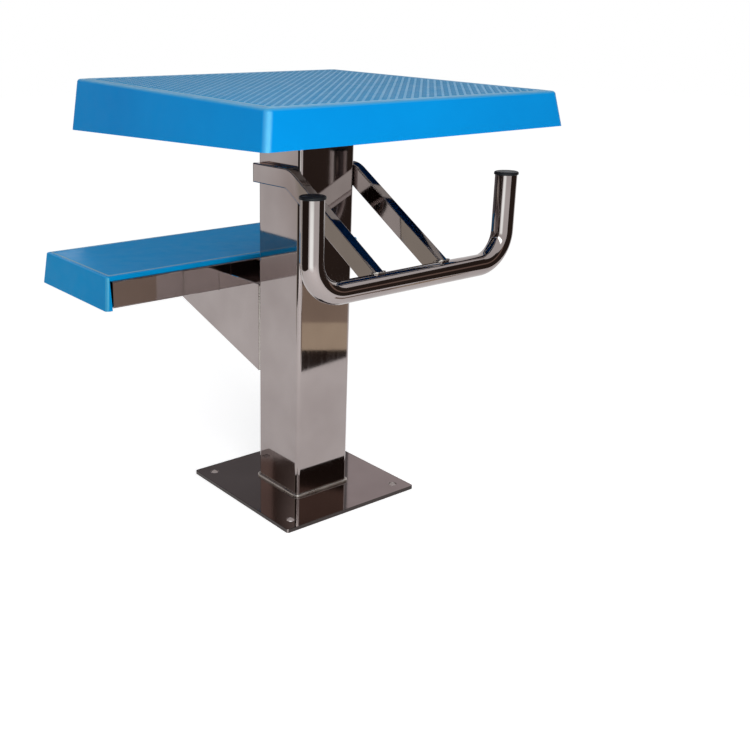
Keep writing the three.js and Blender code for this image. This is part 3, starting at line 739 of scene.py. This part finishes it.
def make_post():
    drilled_plate("base_plate_cut", "base_plate", anchor_places(), ANCHOR_DIAMETER, PLATE)
    drilled_plate("head_plate_cut", "head_plate", bolt_places, BOLT_HOLE, PLAIN)

    def rings(by):
        x, y = inset(post_x, by), inset(post_y, by)
        return [rounded_ring(x, y, POST_CORNER - by, z, POST_STEPS) for z in post_z]

    build("post", tube(rings(0), rings(POST_WALL)), STEEL, ["post_tube"])
    for end, z, sign in (("base", post_z[0] + POST_BEAD_RISE, 1), ("head", post_z[1] - POST_BEAD_RISE, -1)):
        build(f"{end}_weld_bead", post_bead(z, sign), WELD, [f"{end}_weld"], sharp=SHARP_BEAD)


make_post()


# Start handle and its plugs
HANDLE_BEND_STEPS = 20
PLUG_RADIUS = 16.5
PLUG_CLEARANCE = 0.4
PLUG_STEM_CHAMFER = 1
PLUG_HEAD_CHAMFER = 0.4
PLUG_CROWN = 1
PLUG_ROUND = [(0, 1.4), (0.5, 0.6), (1.4, 0.1), (3, 0)]  # in from the head's side, and down from its top


def handle_rings(radius):
    stops = [(-handle_half, handle_top, math.pi)]
    turn = bar_z + HANDLE_BEND
    for side, start in ((-1, math.pi), (1, math.pi * 1.5)):
        for step in range(HANDLE_BEND_STEPS + 1):
            angle = start + step / HANDLE_BEND_STEPS * math.pi / 2
            stops.append((side * (handle_half - HANDLE_BEND) + HANDLE_BEND * math.cos(angle),
                          turn + HANDLE_BEND * math.sin(angle), angle))
    stops.append((handle_half, handle_top, math.pi * 2))
    rings = []
    for x, z, outward in stops:
        ring = []
        for i in range(HANDLE_SIDES):
            a = 2 * math.pi * i / HANDLE_SIDES
            out = radius * math.cos(a)
            ring.append((x + out * math.cos(outward), handle_axis_y + radius * math.sin(a),
                         z + out * math.sin(outward)))
        rings.append(ring)
    return rings


def make_plug(side, x):
    """A push-in cap: a stem inside the tube and a head with a round rim."""
    low, high = span(f"handle_plug_{side}")[2]
    stem = HANDLE_RADIUS - TUBE_WALL - PLUG_CLEARANCE
    seat = handle_top + SEAT
    profile = [(stem - PLUG_STEM_CHAMFER, low), (stem, low + PLUG_STEM_CHAMFER), (stem, seat),
               (PLUG_RADIUS - PLUG_HEAD_CHAMFER, seat), (PLUG_RADIUS, seat + PLUG_HEAD_CHAMFER)]
    profile += [(PLUG_RADIUS - a, high - b) for a, b in PLUG_ROUND] + [(PLUG_CROWN, high)]
    plug = skin(circle_rings(profile, (x, handle_axis_y), HANDLE_SIDES))
    build(f"handle_cap_{side}", plug, BLACK, [f"handle_plug_{side}"])


handle = tube(handle_rings(HANDLE_RADIUS), handle_rings(HANDLE_RADIUS - TUBE_WALL))
build("handle", handle, STEEL, ["handle_tube"])
make_plug("left", -handle_half)
make_plug("right", handle_half)


# Arms
ARM_BEND_STEPS = 6
END_PLATE_EDGE = 0.8
ARM_BEAD_OFFSET = 0.6
ARM_BEAD_RISE = 0.5
ARM_BEAD_RADIUS = 1.9
ARM_BEAD_RIPPLE = 1.5


def make_arm(side):
    """An arm's tube, coped on the bar, straight, bent once and flat along the post, with its end plate."""
    x, y, z = span(f"arm_{side}")
    width = x[1] - x[0]
    axis_z = z[1] - ARM_HEIGHT / 2
    slope = math.atan2(axis_z - bar_z, -ARM_BEND_REACH - handle_axis_y)
    along = Vector((0, math.cos(slope), math.sin(slope)))
    lift = Vector((0, -math.sin(slope), math.cos(slope)))
    bar = Vector((middle(x), handle_axis_y, bar_z))
    bend = Vector((middle(x), -ARM_BEND_REACH, axis_z))
    length = (bend - bar).length - ARM_BEND_RADIUS * math.tan(slope / 2)
    turned = bar + along * length - lift * ARM_BEND_RADIUS

    def on_slope(u, v, far):
        return tuple(bar + Vector((u, 0, 0)) + lift * v + along * far)

    def rings(by):
        half_w, half_h = width / 2 - by, ARM_HEIGHT / 2 - by
        corner = max(ARM_CORNER - by, LEAST_CORNER)
        section = rounded_ring((-half_w, half_w), (-half_h, half_h), corner, 0, SECTION_STEPS)
        made = [[on_slope(u, v, math.sqrt((HANDLE_RADIUS + SEAT) ** 2 - v ** 2)) for u, v, _ in section],
                [on_slope(u, v, length) for u, v, _ in section]]
        for step in range(1, ARM_BEND_STEPS + 1):
            angle = slope * (1 - step / ARM_BEND_STEPS)
            out = Vector((0, -math.sin(angle), math.cos(angle)))
            made.append([tuple(turned + out * (ARM_BEND_RADIUS + v) + Vector((u, 0, 0)))
                         for u, v, _ in section])
        made.append([(middle(x) + u, y[1], axis_z + v) for u, v, _ in section])
        return made

    arm = tube(rings(0), rings(TUBE_WALL))
    build(f"arm_tube_{side}", arm, STEEL, [f"arm_{side}"], sharp=SHARP_SMALL)
    end_plate = box(*span(f"arm_end_plate_{side}"))
    end = build(f"arm_end_{side}", end_plate, STEEL, [f"arm_end_plate_{side}"])
    bevel(end, END_PLATE_EDGE)
    make_arm_weld(side, bar, along, lift, width)


def make_arm_weld(side, bar, along, lift, width):
    """The weld bead round an arm's coped end, which follows the bar."""
    half = ARM_HEIGHT / 2
    across = inset((-width / 2, width / 2), -ARM_BEAD_OFFSET)
    path, ups, outs = [], [], []
    for point in finer(rounded_ring(across, (-half, half), ARM_CORNER, 0, SECTION_STEPS)):
        v = max(-half, min(half, point.y))
        ahead = math.sqrt(HANDLE_RADIUS ** 2 - v ** 2)
        radial = (along * ahead + lift * v).normalized()
        path.append(bar + Vector((point.x, 0, 0)) + radial * (HANDLE_RADIUS + ARM_BEAD_RISE))
        ups.append(radial)
        sideways = Vector((math.copysign(1, point.x), 0, 0))
        on_side = abs(point.y) < half - ARM_CORNER / 2
        outs.append(sideways if on_side else lift * math.copysign(1, point.y))
    weld = bead(path, ups, outs, ARM_BEAD_RADIUS, ARM_BEAD_RIPPLE)
    build(f"handle_weld_bead_{side}", weld, WELD, [f"handle_weld_{side}"], sharp=SHARP_BEAD)


make_arm("left")
make_arm("right")


# Gussets
GUSSET_EDGE = 0.3
GROOVE_BEAD_IN = 1.9
GROOVE_BEAD_AHEAD = 1.3
GROOVE_BEAD_SHORT = 2
GROOVE_BEAD_RADIUS = 2.0
GROOVE_BEAD_RIPPLE = 1.5
GROOVE_BEAD_SIDES = 12
GROOVE_BEAD_SWELL_SHARE = 0.08


def groove_bead(centre, z):
    """A weld bead along an upright line."""
    steps = round((z[1] - z[0]) / BEAD_STEP)
    rings = []
    for step in range(steps + 1):
        height = z[0] + (z[1] - z[0]) * step / steps
        ripple = abs(math.sin(height / GROOVE_BEAD_RIPPLE))
        swell = GROOVE_BEAD_RADIUS * (1 - GROOVE_BEAD_SWELL_SHARE + GROOVE_BEAD_SWELL_SHARE * ripple)
        rings.append(circle_ring(swell, centre, height, GROOVE_BEAD_SIDES))
    return skin(rings)


def make_gusset(side):
    """A gusset's plate, and the weld that fills the groove between it and the post's round corner."""
    x, (root, tip), (foot, top) = span(f"gusset_{side}")
    under = step_rail_z[0] - SEAT
    rail_front = step_rail_y[0] - SEAT
    outline = [(root, foot), (tip, under - GUSSET_TIP_HEIGHT), (tip, under), (rail_front, under),
               (rail_front, top), (root, top)]
    plate = skin([[(px, py, pz) for py, pz in outline] for px in x])
    bevel(build(f"gusset_plate_{side}", plate, STEEL, [f"gusset_{side}"]), GUSSET_EDGE)
    outer = x[0] if side == "left" else x[1]
    groove = (outer - math.copysign(GROOVE_BEAD_IN, outer), root - GROOVE_BEAD_AHEAD)
    weld = groove_bead(groove, inset((foot, top), GROOVE_BEAD_SHORT))
    build(f"gusset_weld_{side}", weld, WELD, sharp=SHARP_BEAD)


make_gusset("left")
make_gusset("right")


# Rails of the two frames
def make_rail(node, material, drill):
    """A rectangular tube with round corners, open at its ends and drilled where fasteners pass."""
    reach = span(node)
    size = [high - low for low, high in reach]
    axis = 0 if size[0] > size[1] else 1
    across, up = reach[1 - axis], reach[2]

    def rings(by):
        section = rounded_ring(inset(across, by), inset(up, by), max(RAIL_CORNER - by, LEAST_CORNER), 0,
                               SECTION_STEPS)
        return [[(at, u, v) if axis == 0 else (u, at, v) for u, v, _ in section] for at in reach[axis]]

    verts, faces = tube(rings(0), rings(TUBE_WALL))
    if axis == 1:
        faces = flipped(faces)
    rail = build(node + "_tube", (verts, faces), material, [node], sharp=SHARP_SMALL)
    for diameter, (x, y) in drill:
        if reach[0][0] < x < reach[0][1] and reach[1][0] < y < reach[1][1]:
            combine(rail, cylinder(diameter, (x, y), inset(up, -OVERRUN)), "DIFFERENCE", SHARP_SMALL)


platform_drill = [(BOLT_HOLE, centre) for centre in bolt_places]
platform_drill += [(SCREW_HOLE, centre) for centre in platform_screw_places]
step_drill = [(SCREW_HOLE, centre) for centre in step_screw_places]
for node in PLATFORM_RAILS:
    make_rail(node, PLAIN, platform_drill)
for node in STEP_RAILS:
    make_rail(node, STEEL, step_drill)


# Fasteners. Threads are given by where they start and end, up from a bolt's tip and down from a screw's.
HEX_FACE_SHARE = 0.47
HEX_FALL = 0.58
BOLT_TIP_CHAMFER = 1.2
BOLT_THREAD = (1, 19)
BOLT_PITCH = 1.5
BOLT_THREAD_DEPTH = 0.7
WASHER_EDGE = 0.3
SOCKET_WIDTH = 4
SOCKET_DEPTH = 2
SCREW_DOME = [(3.6, 0), (5.2, 0.6), (SCREW_HEAD_RADIUS, 1.8)]  # radius, and up from the head's lowest face
SCREW_SHANK_END = 12
SCREW_THREAD = (11.5, 2.5)
SCREW_PITCH = 1.2
SCREW_THREAD_DEPTH = 0.5
SCREW_TIP = [(SCREW_DIAMETER / 2 - SCREW_THREAD_DEPTH, 2), (0.8, 0)]  # radius, and down from the tip


def hexagon_ring(across, centre, z, fall=0):
    """A hexagon, whose corners fall away from the circle of its flat face where fall isn't 0."""
    ring = []
    for i in range(FASTENER_SIDES):
        angle = 2 * math.pi * i / FASTENER_SIDES
        radius = across / 2 / math.cos(angle % (math.pi / 3) - math.pi / 6)
        drop = fall * (radius - across * HEX_FACE_SHARE)
        ring.append((centre[0] + radius * math.cos(angle), centre[1] + radius * math.sin(angle), z - drop))
    return ring


def hexagon_end(centre, z, fall):
    """The rounded-off end of a bolt head or a nut: its corners, and the circle of its flat face."""
    return [hexagon_ring(BOLT_HEAD_WIDTH, centre, z, fall),
            circle_ring(BOLT_HEAD_WIDTH * HEX_FACE_SHARE, centre, z, FASTENER_SIDES)]


def thread(radius, z, pitch, depth):
    """Points (radius, height) of a threaded stem, upward."""
    turns = int((z[1] - z[0]) / pitch)
    points = []
    for turn in range(turns):
        points += [(radius - depth, z[0] + turn * pitch), (radius, z[0] + (turn + 0.5) * pitch)]
    return points


def make_bolt(number, centre):
    """A bolt with its head up, a washer and a nut."""
    radius = BOLT_DIAMETER / 2
    low, high = span(f"head_bolt_{number}")[2]
    seat = high - BOLT_HEAD_HEIGHT
    thread_z = [low + end for end in BOLT_THREAD]
    stem = [(radius - BOLT_TIP_CHAMFER, low)] + thread(radius, thread_z, BOLT_PITCH, BOLT_THREAD_DEPTH)
    rings = circle_rings(stem + [(radius, thread_z[1]), (radius, seat)], centre, FASTENER_SIDES)
    rings += [hexagon_ring(BOLT_HEAD_WIDTH, centre, seat)] + hexagon_end(centre, high, HEX_FALL)
    build(f"bolt_{number}", skin(rings), PLAIN, [f"head_bolt_{number}"])

    low, high = span(f"head_washer_{number}")[2]
    face = WASHER_RADIUS - WASHER_EDGE
    outer = [(face, low), (WASHER_RADIUS, low + WASHER_EDGE),
             (WASHER_RADIUS, high - WASHER_EDGE), (face, high)]
    inner = [(BOLT_HOLE / 2, z) for z in (low, high)]
    washer = tube(circle_rings(outer, centre, HOLE_SIDES), circle_rings(inner, centre, HOLE_SIDES))
    build(f"washer_{number}", washer, PLAIN, [f"head_washer_{number}"])

    low, high = span(f"head_nut_{number}")[2]
    outer = hexagon_end(centre, low, -HEX_FALL)[::-1] + hexagon_end(centre, high, HEX_FALL)
    inner = circle_rings([(radius + SEAT, z) for z in (low, high)], centre, FASTENER_SIDES)
    build(f"nut_{number}", tube(outer, inner), PLAIN, [f"head_nut_{number}"])


def make_screw(node, centre):
    """A screw with a domed head below and a hexagon socket in it."""
    radius = SCREW_DIAMETER / 2
    low, high = span(node)[2]
    seat = low + SCREW_HEAD_HEIGHT
    thread_z = [high - end for end in SCREW_THREAD]
    profile = [(r, low + z) for r, z in SCREW_DOME] + [(SCREW_HEAD_RADIUS, seat), (radius, seat)]
    profile += [(radius, high - SCREW_SHANK_END)] + thread(radius, thread_z, SCREW_PITCH, SCREW_THREAD_DEPTH)
    profile += [(r, high - z) for r, z in SCREW_TIP]
    socket = [hexagon_ring(SOCKET_WIDTH, centre, z) for z in (low + SOCKET_DEPTH, low)]
    screw = skin(socket + circle_rings(profile, centre, FASTENER_SIDES))
    build(node + "_socket", screw, PLAIN, [node])


for number, centre in enumerate(bolt_places):
    make_bolt(number + 1, centre)
for number, centre in enumerate(platform_screw_places):
    make_screw(f"platform_screw_{number + 1}", centre)
for number, centre in enumerate(step_screw_places):
    make_screw(f"step_screw_{number + 1}", centre)

for piece in pieces:
    piece.modifiers.new("flat faces stay flat", "WEIGHTED_NORMAL").keep_sharp = True


# Floor, world and lamp
FLOOR_REACH = 9000
FLOOR_Z = (-20, -0.2)
FLOOR_COLOUR = (0.8, 0.8, 0.8)
FLOOR_GLOW = 0.66  # only for the camera and mirrors
WORLD_SEEN = 1.0  # for the camera and mirrors
WORLD_LIGHT = 0.45  # for the light that falls on the object


def seen_directly(tree):
    """1 for the camera, for mirrors and through glass, 0 for light that falls on the object."""
    rays = tree.nodes.new("ShaderNodeLightPath")
    mirrors = sums(tree, "MAXIMUM", rays.outputs["Is Glossy Ray"], rays.outputs["Is Transmission Ray"])
    return sums(tree, "MAXIMUM", rays.outputs["Is Camera Ray"], mirrors)


def floor_material():
    """A pale surface that the camera and reflections see as white, and that keeps shadows."""
    material, tree, out = empty_material("floor")
    diffuse = tree.nodes.new("ShaderNodeBsdfDiffuse")
    diffuse.inputs["Color"].default_value = (*FLOOR_COLOUR, 1)
    light = tree.nodes.new("ShaderNodeEmission")
    tree.links.new(sums(tree, "MULTIPLY", seen_directly(tree), FLOOR_GLOW), light.inputs["Strength"])
    both = tree.nodes.new("ShaderNodeAddShader")
    tree.links.new(diffuse.outputs["BSDF"], both.inputs[0])
    tree.links.new(light.outputs["Emission"], both.inputs[1])
    tree.links.new(both.outputs["Shader"], out.inputs["Surface"])
    return material


def make_floor():
    reach = (-FLOOR_REACH, FLOOR_REACH)
    mesh = make_mesh("floor", box(reach, reach, FLOOR_Z))
    mesh.materials.append(floor_material())
    floor = bpy.data.objects.new("floor", mesh)
    scene.collection.objects.link(floor)


def make_world():
    """A white world that the camera and mirrors see brighter than it lights the object."""
    world = bpy.data.worlds.new("studio")
    scene.world = world
    tree, out = empty_tree(world, "ShaderNodeOutputWorld")
    mix = tree.nodes.new("ShaderNodeMixShader")
    tree.links.new(seen_directly(tree), mix.inputs["Fac"])
    for number, strength in ((1, WORLD_LIGHT), (2, WORLD_SEEN)):
        background = tree.nodes.new("ShaderNodeBackground")
        background.inputs["Color"].default_value = (1, 1, 1, 1)
        background.inputs["Strength"].default_value = strength
        tree.links.new(background.outputs["Background"], mix.inputs[number])
    tree.links.new(mix.outputs["Shader"], out.inputs["Surface"])


def area_light(name, place_at, aim, size, power):
    """A soft lamp that reflections don't show, with its places and size in metres."""
    data = bpy.data.lights.new(name, "AREA")
    data.shape = "RECTANGLE"
    data.size, data.size_y = size
    data.energy = power
    lamp = bpy.data.objects.new(name, data)
    lamp.location = place_at
    lamp.rotation_mode = "QUATERNION"
    lamp.rotation_quaternion = (Vector(aim) - Vector(place_at)).to_track_quat("-Z", "Y")
    lamp.visible_camera = False
    lamp.visible_glossy = False
    scene.collection.objects.link(lamp)


make_floor()
make_world()
area_light("key_light", place_at=(-0.75, -1.45, 1.0), aim=(0, -0.1, 0.45), size=(0.9, 0.6), power=12.8)


# Cards that only reflections see, as a studio's boards are
DARK = (0.10, 0.070, 0.058)
GREY = (0.165, 0.155, 0.16)
BROWN = (0.62, 0.48, 0.43)
TAN = (0.85, 0.71, 0.53)
UMBER = (0.49, 0.385, 0.30)
PALE = (0.60, 0.54, 0.55)
CLAY = (0.72, 0.66, 0.63)
RUST = (0.37, 0.29, 0.24)
SAND = (0.575, 0.546, 0.477)
WHITE = (0.9, 1.0, 1.0)
BAND = [(317, -518), (478, -533)]
RIGHT = [(300, -1150), (1150, -250)]


def soft_edge(tree, soft):
    """0 at the edges of an upright card and 1 inside, over a share of its width and height."""
    parts = axes(tree, tree.nodes.new("ShaderNodeTexCoord").outputs["Generated"])
    across, up = (spread(tree, sums(tree, "MINIMUM", parts[axis], sums(tree, "SUBTRACT", 1, parts[axis])),
                         0, 1, start=0, end=soft) for axis in "XZ")
    return sums(tree, "MULTIPLY", across, up)


def card_material(name, colour, strength, soft):
    material, tree, out = empty_material(name)
    glow = tree.nodes.new("ShaderNodeEmission")
    glow.inputs["Color"].default_value = (*colour, 1)
    glow.inputs["Strength"].default_value = strength
    if not soft:
        tree.links.new(glow.outputs["Emission"], out.inputs["Surface"])
        return material
    clear = tree.nodes.new("ShaderNodeBsdfTransparent")
    fade = tree.nodes.new("ShaderNodeMixShader")
    tree.links.new(soft_edge(tree, soft), fade.inputs["Fac"])
    tree.links.new(clear.outputs["BSDF"], fade.inputs[1])
    tree.links.new(glow.outputs["Emission"], fade.inputs[2])
    tree.links.new(fade.outputs["Shader"], out.inputs["Surface"])
    return material


def studio_card(name, foot, low, high, colour, strength=1.0, soft=0.0):
    """An upright card over the two ends of its foot, from low to high, each a height or one for each end."""
    lows, highs = (z if isinstance(z, tuple) else (z, z) for z in (low, high))
    (x0, y0), (x1, y1) = foot
    corners = [(x0, y0, lows[0]), (x1, y1, lows[1]), (x1, y1, highs[1]), (x0, y0, highs[0])]
    mesh = make_mesh(name, (corners, [(0, 1, 2, 3)]))
    mesh.materials.append(card_material(name, colour, strength, soft))
    card = bpy.data.objects.new(name, mesh)
    card.visible_camera = False
    card.visible_diffuse = False
    card.visible_shadow = False
    card.visible_transmission = False
    scene.collection.objects.link(card)


studio_card("card_behind", [(-150, 450), (492, 450)], 150, 540, GREY)
studio_card("card_behind_right", [(492, 450), (800, 450)], 150, 540, PALE)
studio_card("card_left", [(-900, -480), (-620, 380)], 120, 700, DARK, 0.4)
studio_card("card_back_left", [(-1050, 560), (-683, 870)], 450, 1150, DARK, 1.2)
studio_card("card_back_left_brown", [(-683, 870), (-350, 1150)], 450, 1150, BROWN)
studio_card("card_arms", [(-400, 120), (-410, 385)], 120, 440, SAND, soft=0.06)
studio_card("card_post", [(-420, 320), (-430, 520)], 190, 560, CLAY, soft=0.5)
studio_card("card_right", RIGHT, 80, 490, DARK, 0.5)
studio_card("card_right_middle", RIGHT, 490, 610, DARK, 3.3)
studio_card("card_right_upper", RIGHT, 610, 1100, DARK, 0.5)
studio_card("card_band", BAND, 0, (50, 15), DARK, 0.4)
studio_card("card_tan", BAND, (50, 15), (110, 78), TAN)
studio_card("card_tan_upper", BAND, (110, 78), (192, 164), UMBER)
studio_card("card_rail", [(60, -510), (317, -518)], 55, 165, RUST)
studio_card("card_camera", [(-890, -540), (-420, -945)], 80, 480, WHITE, 2.5, soft=0.3)
studio_card("card_corner", [(-1340, -560), (-220, -1380)], 680, 980, WHITE, 7.0, soft=0.2)

scene.view_settings.view_transform = "Standard"
